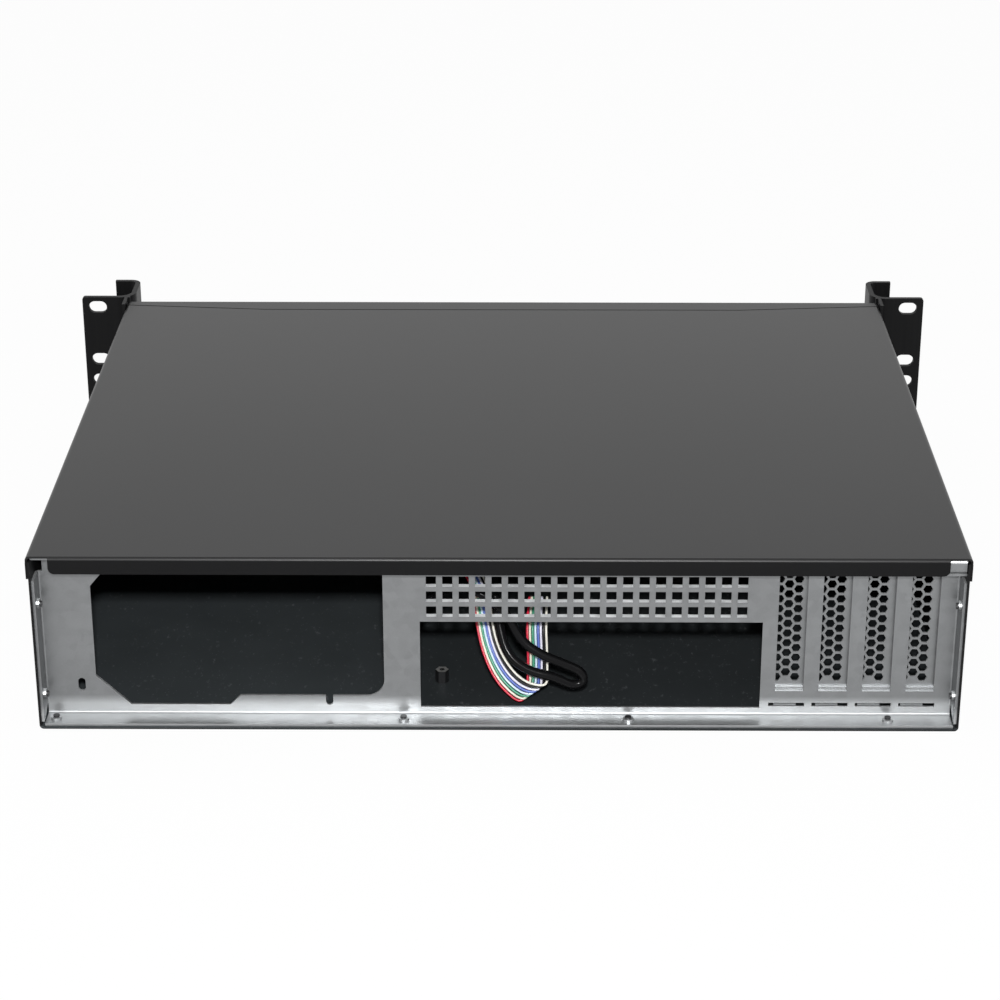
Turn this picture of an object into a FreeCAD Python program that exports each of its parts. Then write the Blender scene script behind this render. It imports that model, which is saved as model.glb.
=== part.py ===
import FreeCAD, Part
import math
import os

# Short-depth 2U rackmount case for a micro-ATX board, empty: folded steel body, screwed cover,
# recessed galvanised rear panel with vented slot covers, extruded ear handles, two front fans and
# the front controls with their leads.
# Frame: X to the right as seen from the front, Y from the front to the rear, Z up.
# Origin: bottom centre of the whole object. Millimetres.

Vector = FreeCAD.Vector

# ---------------------------------------------------------------- overall sizes
RACK_WIDTH = 482.6            # 19 inch panel width over the ears
EAR_HEIGHT = 88.1             # 2U panel height
EAR_LIFT = 2.0                # ears stand this much above the underside
BODY_WIDTH = 430.0            # over the cover's side flanges
BODY_HEIGHT = 88.1            # underside of the floor to the top of the cover
BODY_DEPTH = 350.0            # ears' mounting face to the rear edge
GRIP_REACH = 31.0             # grips in front of the ears' mounting face

REAR_Y = (BODY_DEPTH + GRIP_REACH) / 2
FRONT_Y = REAR_Y - BODY_DEPTH

# ---------------------------------------------------------------- sheet and clearances
BODY_STEEL = 1.0              # chassis and cover
PANEL_STEEL = 1.2             # rear panel, clamp bar, drive bracket
FRONT_STEEL = 1.0             # front panel
COVER_STEEL = 0.8             # slot covers
BEND = 1.5                    # centre-line bend radius of the large sheets
SMALL_BEND = 0.7              # centre-line bend radius of the slot covers
FIT = 0.1                     # gap between nested sheets

# ---------------------------------------------------------------- cover
COVER_FLANGE = 11.1           # height of the cover's side flanges
COVER_LIP = 8.5               # height of the cover's rear lip
COVER_LIP_END = 10.3          # the lip stops this short of the cover's sides
COVER_LIP_CORNER = 3.0
SEAM_MIDDLE = 14.0            # front flange depth across the middle
SEAM_END = 7.0                # front flange depth at its ends
SEAM_TAPER = 80.0             # length of the tapered stretch at each end
SEAM_GAP = 0.9

# ---------------------------------------------------------------- rear panel
PANEL_RECESS = 12.4           # panel face in front of the rear edge
FLANGE_TOP = 75.5             # top end of the panel's side flanges
FLANGE_FOOT = 10.3            # where the corner relief starts on the side flanges
LEDGE_TOP = 79.6              # ledge that carries the slot covers' tabs

PSU_WIDTH = 150.0             # standard power supply face
PSU_LEFT = 51.0               # its side next to the board
PSU_BASE = 1.0
PSU_HOLE_INSET = 6.0
PSU_LOW_HOLE = 16.0
PSU_HOLE_PITCH = 64.0
PSU_EDGE = 12.8               # rim left of the power supply's opening
PSU_LAND = 2.5                # rim right of it
PSU_OPEN_FOOT = 6.6
PSU_OPEN_STEP = 11.4
PSU_OPEN_TOP = 76.5
PSU_CORNER = 8.2              # radius of the inner foot corner
PSU_SLOT_WIDTH = 3.4
PSU_SLOT_LENGTH = 6.6
PSU_NOTCH_AT = 121.7          # fourth screw, from the power supply's outer side

IO_WIDTH = 158.75             # standard board connector aperture
IO_HEIGHT = 44.45
IO_CENTRE = -42.8
IO_BASE = 5.6

VENT_COLUMNS = 20
VENT_ROWS = 3
VENT_PITCH_X = 7.56
VENT_PITCH_Z = 7.65
VENT_WIDTH = 4.7
VENT_HEIGHT = 5.3
VENT_CENTRE = -40.6
VENT_BASE = 52.6              # foot of the lowest row
VENT_RISE = 0.9               # pressed lower edge of a vent hole, front to back

SLOT_COUNT = 4
SLOT_PITCH = 20.32
SLOT_FIRST = -135.7           # centre of the first slot opening
SLOT_WIDTH = 13.2
SLOT_BASE = 14.4
SLOT_TOP = 75.0

# ---------------------------------------------------------------- slot covers
PLATE_WIDTH = 18.4
PLATE_SETBACK = 1.6           # plate behind its tongue
TONGUE_WIDTH = 10.4
TONGUE_SHIFT = 2.6            # tongue and holes beside the plate's centre
COVER_PLAY = (-0.9, -0.2, 0.5, 0.6)   # each cover's own place within its slot
TONGUE_SLIT_WIDTH = 16.9
TONGUE_SLIT_SHIFT = 1.0
TONGUE_Z = 7.3
TONGUE_SLANT = 0.3            # rise and fall of the tongue through its slit
TONGUE_SLIT = 1.8
TAB_LENGTH = 9.0
TAB_WIDTH = 13.6
HOLE_COLUMN = 4.4
HOLE_ROW = 5.05
HOLE_RADIUS = 2.3              # centre to corner of the honeycomb's holes
HOLE_FIRST = 20.4             # lowest hole of the outer columns
HOLE_ROWS = 12
HOLE_SIDES = 6

# ---------------------------------------------------------------- ears
EAR_METAL = 2.8
EAR_CORNER = 1.6
EAR_FLANGE = 12.0             # length of the flange along the body's side
GRIP_BEND = 8.0
CURL_BEND = 4.6
GRIP_INSET = 28.8             # grip web to the ear's outer edge
CURL_LENGTH = 12.0
RACK_HOLE_SPAN = 465.12
RACK_UNIT = 88.9              # two rack units
RACK_HOLES = (6.35, 38.1, 50.8, 82.55)
RACK_SLOT_WIDTH = 7.0
RACK_SLOT_LENGTH = 10.3

# ---------------------------------------------------------------- board, fans, drive
BOARD_EDGE = 44.0             # board's edge next to the power supply
BOARD_GAP = 0.6               # board's rear edge to the panel
STANDOFF_HEIGHT = 6.35
STANDOFF_FLATS = 5.5
STANDOFF_BORE = 1.25
BOARD_COLUMNS = (16.51, 173.99, 219.71)
BOARD_ROWS = (10.16, 165.10, 237.49)
BOARD_CORNER_ROW = 33.02      # the corner hole beside the connectors sits further in

FAN_SIZE = 80.0
FAN_DEPTH = 25.0
FAN_BORE = 38.2
FAN_HOLE_PITCH = 71.5
FAN_HOLE_RADIUS = 2.2
FAN_CENTRES = (-158.0, -68.0)
HUB_RADIUS = 16.0
BLADES = 7
BLADE_TIP = 35.4
BLADE_CHORD = 21.0
BLADE_THICK = 1.4
BLADE_PITCH = 38.0
SHAFT_RADIUS = 1.5
SHAFT_PLAY = 0.05

GUARD_RADIUS = 36.0
GUARD_SLOT = 4.6
GUARD_PITCH = 8.0

DRIVE_WIDTH = 101.6
DRIVE_PLAY = 0.4
DRIVE_CENTRE = 128.0
DRIVE_START = 32.0            # behind the front face
DRIVE_LENGTH = 118.0
DRIVE_WALL = 27.0
DRIVE_HOLE_Z = 6.35
DRIVE_HOLES = (8.0, 109.6)
DRIVE_HOLE_RADIUS = 1.8

# ---------------------------------------------------------------- front controls
BOARD_SETBACK = 10.0          # control board behind the front panel
CONTROL_BOARD = 1.6
CONTROL_X = 150.0
CONTROL_Z = 46.0
CONTROL_WIDTH = 92.0
CONTROL_HEIGHT = 44.0
POWER_AT = (30.0, 8.0)        # from the control board's centre, X and Z
RESET_AT = (30.0, -13.0)
POWER_LED_AT = (8.0, 13.0)
DRIVE_LED_AT = (8.0, 5.0)
USB_AT = ((-26.0, 8.0), (-26.0, -8.0))
POWER_RADIUS = 7.0
RESET_RADIUS = 2.5
BUTTON_PROUD = 1.2
BUTTON_GAP = 0.3
LED_RADIUS = 1.5
USB_WIDTH = 13.1
USB_HEIGHT = 5.7
USB_SHELL = 0.5

# ---------------------------------------------------------------- screws
M3 = 1.5
M3_SINK = 2.5                 # countersunk head radius
M3_PAN = 2.8                  # pan head radius
M4 = 2.0
M4_HEAD = 3.75
COLLAR = 1.2                  # drawn collar round a tapped hole
COLLAR_RADIUS = 2.5
TIP = 0.9                     # screw end beyond its collar
FACETS = 12                   # sides of a repeated small screw or screw hole

# ---------------------------------------------------------------- leads
WIRES = 8
WIRE_PITCH = 1.2
RIBBON_HEIGHT = 1.2
LEAD = 4.6                    # round lead of the front sockets
LEAD_SIDES = 10
ARC_SHARE = 0.45              # arc tangent length over the shorter run
PLUG_DEPTH = 8.0
RIBBON_PLUG = (12.4, 6.0)     # width and height
LEAD_PLUG = (10.0, 6.0)

# places that follow from the sizes above
COVER_IN = BODY_HEIGHT - BODY_STEEL
WALL_OUT = BODY_WIDTH / 2 - BODY_STEEL - FIT
WALL_IN = WALL_OUT - BODY_STEEL
FLOOR = BODY_STEEL
PANEL_Y = REAR_Y - PANEL_RECESS
PANEL_IN = PANEL_Y - PANEL_STEEL
NEST_TOP = COVER_IN - FIT
WALL_TOP = COVER_IN - BEND    # the walls end below the cover's bends
LIP_IN = REAR_Y - BODY_STEEL
FACE_IN = FRONT_Y + FRONT_STEEL
BOARD_Y = FACE_IN + BOARD_SETBACK
FLANGE_SCREW_Y = REAR_Y - 6.0
SIDE_SCREW_Z = (15.5, 62.0)
FLOOR_SCREW_X = (206.8, 44.4, -60.5, -181.6)
EAR_SCREW_Z = (16.0, 62.0)
EAR_SCREW_Y = FRONT_Y + 6.4
COVER_SCREW_Z = BODY_HEIGHT - 6.0
COVER_SCREW_Y = (FRONT_Y + 45.0, REAR_Y - 45.0)
CLAMP_SCREW_Y = PANEL_Y + 5.2
SLOT_CENTRES = [SLOT_FIRST - SLOT_PITCH * k for k in range(SLOT_COUNT)]
LEDGE_START = SLOT_FIRST + SLOT_PITCH / 2 + 1.2


# ================================================================ helpers
def block(x0, x1, y0, y1, z0, z1):
    """A box between two corners."""
    return Part.makeBox(x1 - x0, y1 - y0, z1 - z0, Vector(x0, y0, z0))


def rod(base, direction, radius, length):
    """A cylinder from a base point along a direction."""
    return Part.makeCylinder(radius, length, Vector(*base), Vector(*direction))


def ring(base, direction, radius, sides, turn=0.0):
    """A regular polygon round an axis."""
    way = Vector(*direction).normalize()
    aside = Vector(0, 0, 1) if abs(way.z) < 0.9 else Vector(1, 0, 0)
    u = way.cross(aside).normalize()
    v = way.cross(u)
    corners = []
    for i in range(sides):
        angle = 2 * math.pi * (i + turn) / sides
        corners.append(Vector(*base) + u * (radius * math.cos(angle)) + v * (radius * math.sin(angle)))
    return Part.makePolygon(corners + corners[:1])


def peg(base, direction, radius, length, sides=FACETS, turn=0.5):
    """A faceted rod, for what repeats many times."""
    return Part.Face(ring(base, direction, radius, sides, turn)).extrude(Vector(*direction) * length)


def peg_taper(base, direction, radius_a, radius_b, length, sides=FACETS):
    """A faceted cone frustum."""
    end = Vector(*base) + Vector(*direction) * length
    wires = [ring(base, direction, radius_a, sides, 0.5), ring(end, direction, radius_b, sides, 0.5)]
    return Part.makeLoft(wires, True, True)


def fuse(shapes):
    """One shape from several that touch or overlap."""
    first = shapes[0]
    if len(shapes) > 1:
        first = first.fuse(shapes[1:]).removeSplitter()
    return first


def cut(shape, tools):
    """A shape less all its tools."""
    return shape.cut(tools) if tools else shape


def in_xz(y):
    """Places a flat (x, z) point at depth y."""
    return lambda u, v: Vector(u, y, v)


def in_yz(x):
    """Places a flat (y, z) point at width x."""
    return lambda u, v: Vector(x, u, v)


def in_xy(z):
    """Places a flat (x, y) point at height z."""
    return lambda u, v: Vector(u, v, z)


def offset_side(points, radii, shift):
    """Edges of a bent line moved sideways by shift, as (kind, points) pairs."""
    pieces = []
    start = None
    last = len(points) - 1
    for i, point in enumerate(points):
        here = Vector(point[0], point[1], 0)
        back = here - Vector(*points[i - 1], 0) if i > 0 else None
        ahead = Vector(*points[i + 1], 0) - here if i < last else None
        way = (back or ahead).normalize()
        side = Vector(-way.y, way.x, 0)
        if i in (0, last):
            corner = here + side * shift
            if i == last:
                pieces.append(("line", (start, corner)))
            start = corner
            continue
        onward = ahead.normalize()
        turn = math.atan2(way.x * onward.y - way.y * onward.x, way.dot(onward))
        radius = radii[i - 1]
        if radius == 0:
            normal = Vector(-onward.y, onward.x, 0)
            corner = here + (side + normal) * (shift / (1 + side.dot(normal)))
            pieces.append(("line", (start, corner)))
            start = corner
            continue
        reach = radius * math.tan(abs(turn) / 2)
        sign = 1 if turn > 0 else -1
        centre = here - way * reach + side * (sign * radius)
        next_side = Vector(-onward.y, onward.x, 0)
        enter = here - way * reach + side * shift
        leave = here + onward * reach + next_side * shift
        middle = (here - centre).normalize() * (radius - sign * shift) + centre
        pieces.append(("line", (start, enter)))
        pieces.append(("arc", (enter, middle, leave)))
        start = leave
    return pieces


def folded(points, radii, thickness, place, sweep):
    """A sheet of even thickness, bent along a centre line and swept straight."""
    if not isinstance(radii, (list, tuple)):
        radii = [radii] * (len(points) - 2)
    one = offset_side(points, radii, thickness / 2)
    other = offset_side(points, radii, -thickness / 2)

    def edge(kind, ends):
        spots = [place(p.x, p.y) for p in ends]
        return Part.LineSegment(*spots).toShape() if kind == "line" else Part.Arc(*spots).toShape()

    edges = [edge(kind, ends) for kind, ends in one]
    edges.append(edge("line", (one[-1][1][-1], other[-1][1][-1])))
    edges += [edge(kind, ends[::-1]) for kind, ends in reversed(other)]
    edges.append(edge("line", (other[0][1][0], one[0][1][0])))
    return Part.Face(Part.Wire(Part.__sortEdges__(edges))).extrude(Vector(*sweep))


def prism(points, place, sweep):
    """A straight-sided solid over a closed outline."""
    corners = [place(*p) for p in points]
    return Part.Face(Part.makePolygon(corners + corners[:1])).extrude(Vector(*sweep))


def long_hole(centre, length, width, along, through, depth):
    """A slot with round ends, centred on a point, cut along its through direction."""
    centre = Vector(*centre)
    along = Vector(*along)
    through = Vector(*through)
    across = through.cross(along)
    base = centre - through * (depth / 2)
    half = (length - width) / 2
    radius = width / 2
    a = base + along * half + across * radius
    b = base - along * half + across * radius
    c = base - along * half - across * radius
    d = base + along * half - across * radius
    edges = [
        Part.LineSegment(a, b).toShape(),
        Part.Arc(b, base - along * (half + radius), c).toShape(),
        Part.LineSegment(c, d).toShape(),
        Part.Arc(d, base + along * (half + radius), a).toShape(),
    ]
    return Part.Face(Part.Wire(edges)).extrude(through * depth)


def mirrored(shape):
    """The same shape on the other side of the middle plane."""
    return shape.mirror(Vector(0, 0, 0), Vector(1, 0, 0))


def flat_screw(head, direction, radius, head_radius, length):
    """A countersunk screw: its head is flush at the head point."""
    sink = head_radius - radius
    neck = Vector(*head) + Vector(*direction) * sink
    body = peg_taper(head, direction, head_radius, radius, sink)
    shank = peg(neck, direction, radius, length - sink)
    return body.fuse(shank).removeSplitter()


def flat_seat(head, direction, radius, head_radius, depth):
    """The countersunk hole that a flat screw sits in."""
    return peg_taper(head, direction, head_radius, radius, head_radius - radius).fuse(
        peg(head, direction, radius, depth))


def pan_screw(seat, direction, radius, head_radius, head_height, length):
    """A pan-head screw: the underside of its head lies at the seat point."""
    back = Vector(*direction) * -1
    head = peg_taper(seat, back, head_radius, head_radius * 0.8, head_height)
    return head.fuse(peg(seat, direction, radius, length)).removeSplitter()


def seam_tool(gap):
    """Everything in front of the seam between the front flange and the cover."""
    half = BODY_WIDTH / 2 + 5
    inner = BODY_WIDTH / 2 - SEAM_TAPER
    slope = (SEAM_MIDDLE - SEAM_END) / SEAM_TAPER
    end = SEAM_END - slope * 5
    outline = [
        (-half, FRONT_Y - 50),
        (half, FRONT_Y - 50),
        (half, FRONT_Y + end + gap),
        (inner, FRONT_Y + SEAM_MIDDLE + gap),
        (-inner, FRONT_Y + SEAM_MIDDLE + gap),
        (-half, FRONT_Y + end + gap),
    ]
    return prism(outline, in_xy(-10), (0, 0, BODY_HEIGHT + 20))


# ================================================================ body
def chassis_base():
    """Folded tray: floor and both side walls."""
    wall = WALL_OUT - BODY_STEEL / 2
    low = BODY_STEEL / 2
    path = [(wall, WALL_TOP), (wall, low), (-wall, low), (-wall, WALL_TOP)]
    tray = folded(path, BEND, BODY_STEEL, in_xz(FRONT_Y), (0, BODY_DEPTH, 0))
    holes = []
    for side in (1, -1):
        out = side * WALL_OUT
        for z in SIDE_SCREW_Z:
            holes.append(flat_seat((out, FLANGE_SCREW_Y, z), (-side, 0, 0), M3, M3_SINK, 4))
        for y in COVER_SCREW_Y:
            holes.append(peg((out + 2 * side, y, COVER_SCREW_Z), (-side, 0, 0), M3, 8))
        for z in EAR_SCREW_Z:
            holes.append(peg((out + 2 * side, EAR_SCREW_Y, z), (-side, 0, 0), M4, 8))
    for x in FLOOR_SCREW_X:
        holes.append(flat_seat((x, FLANGE_SCREW_Y, 0), (0, 0, 1), M3, M3_SINK, 4))
    for x, y in drive_screw_spots():
        holes.append(flat_seat((x, y, 0), (0, 0, 1), M3, M3_SINK, 4))
    return cut(tray, holes)


def top_cover():
    """Cover with side flanges and a rear lip, cut to the front seam."""
    side = (BODY_WIDTH - BODY_STEEL) / 2
    top = BODY_HEIGHT - BODY_STEEL / 2
    foot = BODY_HEIGHT - COVER_FLANGE
    path = [(side, foot), (side, top), (-side, top), (-side, foot)]
    skin = folded(path, BEND, BODY_STEEL, in_xz(FRONT_Y), (0, BODY_DEPTH - BODY_STEEL - BEND, 0))
    rear = REAR_Y - BODY_STEEL / 2
    lip_half = BODY_WIDTH / 2 - COVER_LIP_END
    lip_path = [(REAR_Y - BODY_STEEL - BEND - 1, top), (rear, top), (rear, BODY_HEIGHT - COVER_LIP)]
    lip = folded(lip_path, BEND, BODY_STEEL, in_yz(-lip_half), (2 * lip_half, 0, 0))
    corners = []
    for edge in lip.Edges:
        middle = edge.CenterOfMass
        low = abs(middle.z - (BODY_HEIGHT - COVER_LIP)) < 0.01
        if low and abs(abs(middle.x) - lip_half) < 0.01:
            corners.append(edge)
    lip = lip.makeFillet(COVER_LIP_CORNER, corners)
    end = REAR_Y - BODY_STEEL - BEND
    returns = [block(s * BODY_WIDTH / 2 - (BODY_STEEL if s > 0 else 0),
                     s * BODY_WIDTH / 2 + (BODY_STEEL if s < 0 else 0),
                     end, REAR_Y - 0.4, foot, BODY_HEIGHT - 2 * BEND) for s in (1, -1)]
    sheet = folded([(side, top - 4), (side, top), (-side, top), (-side, top - 4)], BEND, BODY_STEEL,
                   in_xz(end), (0, BODY_STEEL + 0.6, 0))
    body = fuse([skin, lip, sheet] + returns)
    holes = []
    for s in (1, -1):
        for y in COVER_SCREW_Y:
            seat = (s * BODY_WIDTH / 2, y, COVER_SCREW_Z)
            holes.append(flat_seat(seat, (-s, 0, 0), M3, M3_SINK, 6))
    return cut(body.cut(seam_tool(SEAM_GAP)), holes)


def guard_slots(centre_x, centre_z):
    """Level slots whose lengths follow a circle in front of a fan."""
    tools = []
    rows = int(GUARD_RADIUS // GUARD_PITCH)
    for row in range(-rows, rows + 1):
        height = row * GUARD_PITCH
        half = math.sqrt(GUARD_RADIUS ** 2 - height ** 2)
        low = centre_z + height - GUARD_SLOT / 2
        tools.append(block(centre_x - half, centre_x + half, FRONT_Y - 1, FRONT_Y + 3, low, low + GUARD_SLOT))
    return tools


def front_panel():
    """Front sheet: face, top flange with short side lips, bottom and side flanges."""
    face = FRONT_Y + FRONT_STEEL / 2
    low = FLOOR + FRONT_STEEL / 2
    top = BODY_HEIGHT - FRONT_STEEL / 2
    inside = WALL_IN - FIT
    path = [(FRONT_Y + SEAM_MIDDLE, low), (face, low), (face, top), (FRONT_Y + SEAM_MIDDLE + 2, top)]
    middle = folded(path, BEND, FRONT_STEEL, in_yz(-inside), (2 * inside, 0, 0))
    side = (BODY_WIDTH - FRONT_STEEL) / 2
    foot = BODY_HEIGHT - COVER_FLANGE
    cap_path = [(side, foot), (side, top), (-side, top), (-side, foot)]
    cap = folded(cap_path, BEND, FRONT_STEEL, in_xz(FRONT_Y + 2 * BEND), (0, SEAM_MIDDLE, 0))
    pieces = [middle, cap]
    for s in (1, -1):
        edge = s * (inside - FRONT_STEEL / 2)
        bend = [(edge - s * 12, face), (edge, face), (edge, FRONT_Y + 12)]
        pieces.append(folded(bend, BEND, FRONT_STEEL, in_xy(6), (0, 0, 66)))
    trim = [block(s * (inside - BEND - 1) if s > 0 else -inside - 1,
                  inside + 1 if s > 0 else -(inside - BEND - 1),
                  FRONT_Y - 1, FRONT_Y + BEND + 1, 6, 72) for s in (1, -1)]
    corner = [block(s * (inside - BEND) if s > 0 else -inside - 1,
                    inside + 1 if s > 0 else -(inside - BEND),
                    FRONT_Y - 1, FRONT_Y + 2 * SEAM_MIDDLE, 0, 6) for s in (1, -1)]
    middle = middle.cut(trim + corner)
    body = fuse([middle] + pieces[1:]).common(seam_tool(0))
    tools = []
    for x in FAN_CENTRES:
        tools += guard_slots(x, fan_height())
        for dx, dz in fan_holes():
            tools.append(peg((x + dx, FRONT_Y - 1, fan_height() + dz), (0, 1, 0), FAN_HOLE_RADIUS, 4))
    for (x, z), radius in button_places():
        tools.append(rod((x, FRONT_Y - 1, z), (0, 1, 0), radius + BUTTON_GAP, 4))
    for x, z in led_places():
        tools.append(peg((x, FRONT_Y - 1, z), (0, 1, 0), LED_RADIUS + FIT, 4))
    for x, z in usb_places():
        half_x = USB_WIDTH / 2 + FIT
        half_z = USB_HEIGHT / 2 + FIT
        tools.append(block(x - half_x, x + half_x, FRONT_Y - 1, FRONT_Y + 3, z - half_z, z + half_z))
    for s in (1, -1):
        for z in EAR_SCREW_Z:
            tools.append(peg((s * (WALL_IN + 1), EAR_SCREW_Y, z), (-s, 0, 0), M4, 6))
    return cut(body, tools)


def psu_outline():
    """Power supply opening: chamfered corners, a stepped foot and a notch for the fourth screw."""
    outer = PSU_LEFT + PSU_WIDTH - PSU_EDGE
    inner = PSU_LEFT + PSU_LAND
    notch = PSU_LEFT + PSU_WIDTH - PSU_NOTCH_AT - PSU_SLOT_WIDTH / 2
    return [
        (outer - 7.2, PSU_OPEN_TOP),
        (outer, PSU_OPEN_TOP - 8.6),
        (outer, PSU_LOW_HOLE + 5.6),
        (outer - 15.8, PSU_OPEN_FOOT),
        (outer - 62.4, PSU_OPEN_FOOT),
        (outer - 67.2, PSU_OPEN_STEP),
        (notch + PSU_SLOT_WIDTH, PSU_OPEN_STEP),
        (notch + PSU_SLOT_WIDTH, PSU_OPEN_FOOT),
        (notch, PSU_OPEN_FOOT),
        (notch, PSU_OPEN_STEP),
        (inner, PSU_OPEN_STEP),
        (inner, PSU_OPEN_TOP),
    ]


def psu_opening():
    """The cutting tool for the power supply opening, its foot corner and notch rounded."""
    tool = prism(psu_outline(), in_xz(PANEL_IN - 2), (0, PANEL_STEEL + 4, 0))
    corner = PSU_LEFT + PSU_LAND
    soft = [e for e in tool.Edges
            if abs(e.CenterOfMass.x - corner) < 0.01 and abs(e.CenterOfMass.z - PSU_OPEN_STEP) < 0.01]
    tool = tool.makeFillet(PSU_CORNER, soft)
    notch = PSU_LEFT + PSU_WIDTH - PSU_NOTCH_AT
    foot = [e for e in tool.Edges
            if abs(abs(e.CenterOfMass.x - notch) - PSU_SLOT_WIDTH / 2) < 0.01
            and abs(e.CenterOfMass.z - PSU_OPEN_FOOT) < 0.01]
    return tool.makeFillet(PSU_SLOT_WIDTH / 2 - FIT, foot)


def psu_slot_spots():
    """Three screw slots of the power supply that lie in the panel."""
    outer = PSU_LEFT + PSU_WIDTH - PSU_HOLE_INSET
    low = PSU_BASE + PSU_LOW_HOLE
    return [(outer, low), (outer, low + PSU_HOLE_PITCH)]


def rear_panel():
    """Recessed galvanised panel with flanges turned to the rear on all four sides."""
    face = PANEL_Y - PANEL_STEEL / 2
    low = FLOOR + PANEL_STEEL / 2
    top = NEST_TOP - PANEL_STEEL / 2
    ledge = LEDGE_TOP - PANEL_STEEL / 2
    side = WALL_IN
    reach = REAR_Y - 1.2
    high = [(reach, low), (face, low), (face, top), (LIP_IN - BODY_STEEL, top)]
    tall = folded(high, BEND, PANEL_STEEL, in_yz(LEDGE_START), (side - LEDGE_START, 0, 0))
    short = [(reach, low), (face, low), (face, ledge), (PANEL_Y + 9.4, ledge)]
    low_part = folded(short, BEND, PANEL_STEEL, in_yz(-side), (side + LEDGE_START, 0, 0))
    sheet = fuse([tall, low_part])
    flank = [block(s * (side - BEND - 1) if s > 0 else -side - 1, side + 1 if s > 0 else -(side - BEND - 1),
                   PANEL_IN - 1, PANEL_IN + BEND + 3, FLANGE_FOOT, FLANGE_TOP) for s in (1, -1)]
    corner = [block(s * (side - 1.4) if s > 0 else -side - 1, side + 1 if s > 0 else -(side - 1.4),
                    PANEL_IN - 1, REAR_Y, -1, FLANGE_FOOT) for s in (1, -1)]
    upper = [block(s * (side - 3.2) if s > 0 else -side - 1, side + 1 if s > 0 else -(side - 3.2),
                   PANEL_IN - 1, PANEL_IN + BEND + 3, FLANGE_TOP, BODY_HEIGHT) for s in (1, -1)]
    sheet = sheet.cut(flank + corner + upper)
    wings = [side_wing(s, face, side, reach) for s in (1, -1)]
    body = fuse([sheet] + wings)
    collars = [collar_on_wall(s, z) for s in (1, -1) for z in SIDE_SCREW_Z]
    collars += [peg((x, FLANGE_SCREW_Y, FLOOR + PANEL_STEEL / 2), (0, 0, 1), COLLAR_RADIUS,
                    COLLAR + PANEL_STEEL / 2) for x in FLOOR_SCREW_X]
    return cut(fuse([body] + collars), rear_panel_tools())


def side_wing(s, face, side, reach):
    """One side flange with its bend, its foot relieved by a curve at the corner."""
    edge = s * (side - PANEL_STEEL / 2)
    bend = [(edge - s * (BEND + 6), face), (edge, face), (edge, reach)]
    wing = folded(bend, BEND, PANEL_STEEL, in_xy(FLOOR + PANEL_STEEL), (0, 0, FLANGE_TOP - FLOOR - PANEL_STEEL))
    span = reach - PANEL_IN
    drop = FLANGE_FOOT - FLOOR - PANEL_STEEL - 1
    start = Vector(0, PANEL_IN - 1, FLANGE_FOOT)
    middle = Vector(0, PANEL_IN + span * 0.45, FLANGE_FOOT - drop * 0.80)
    end = Vector(0, reach + 1, FLANGE_FOOT - drop)
    corner_a = Vector(0, reach + 1, -1)
    corner_b = Vector(0, PANEL_IN - 1, -1)
    edges = [
        Part.Arc(start, middle, end).toShape(),
        Part.LineSegment(end, corner_a).toShape(),
        Part.LineSegment(corner_a, corner_b).toShape(),
        Part.LineSegment(corner_b, start).toShape(),
    ]
    tool = Part.Face(Part.Wire(edges))
    tool.translate(Vector(-BODY_WIDTH, 0, 0))
    return wing.cut(tool.extrude(Vector(2 * BODY_WIDTH, 0, 0)))


def collar_on_wall(s, z):
    """Collar drawn inwards from a side flange round a tapped hole."""
    start = s * (WALL_IN - PANEL_STEEL / 2)
    return peg((start, FLANGE_SCREW_Y, z), (-s, 0, 0), COLLAR_RADIUS, COLLAR + PANEL_STEEL / 2)


def vent_tool(x, z):
    """One vent hole, its lower edge pressed up towards the inside."""
    slope = VENT_RISE / PANEL_STEEL
    outline = [(PANEL_Y + 1, z - slope), (PANEL_IN - 1, z + VENT_RISE + slope),
               (PANEL_IN - 1, z + VENT_HEIGHT), (PANEL_Y + 1, z + VENT_HEIGHT)]
    return prism(outline, in_yz(x - VENT_WIDTH / 2), (VENT_WIDTH, 0, 0))


def rear_panel_tools():
    """Everything cut from the rear panel."""
    tools = [psu_opening()]
    for x, z in psu_slot_spots():
        tools.append(long_hole((x, PANEL_Y, z), PSU_SLOT_LENGTH, PSU_SLOT_WIDTH, (0, 0, 1), (0, 1, 0), 8))
    tools.append(block(IO_CENTRE - IO_WIDTH / 2, IO_CENTRE + IO_WIDTH / 2, PANEL_IN - 2, PANEL_Y + 2,
                       IO_BASE, IO_BASE + IO_HEIGHT))
    for column in range(VENT_COLUMNS):
        x = VENT_CENTRE + (column - (VENT_COLUMNS - 1) / 2) * VENT_PITCH_X
        for row in range(VENT_ROWS):
            z = VENT_BASE + row * VENT_PITCH_Z
            tools.append(vent_tool(x, z))
    for k, x in enumerate(SLOT_CENTRES):
        tools.append(block(x - SLOT_WIDTH / 2, x + SLOT_WIDTH / 2, PANEL_IN - 2, PANEL_Y + 2,
                           SLOT_BASE, SLOT_TOP))
        slit = x + TONGUE_SLIT_SHIFT
        tools.append(block(slit - TONGUE_SLIT_WIDTH / 2, slit + TONGUE_SLIT_WIDTH / 2, PANEL_IN - 2,
                           PANEL_Y + 2, TONGUE_Z - TONGUE_SLIT / 2, TONGUE_Z + TONGUE_SLIT / 2))
    for x in clamp_screw_places():
        tools.append(peg((x, CLAMP_SCREW_Y, LEDGE_TOP - 4), (0, 0, 1), M3, 8))
    for s in (1, -1):
        for z in SIDE_SCREW_Z:
            tools.append(peg((s * (WALL_IN + 1), FLANGE_SCREW_Y, z), (-s, 0, 0), M3, 6))
    for x in FLOOR_SCREW_X:
        tools.append(peg((x, FLANGE_SCREW_Y, 0), (0, 0, 1), M3, 6))
    return tools


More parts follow.
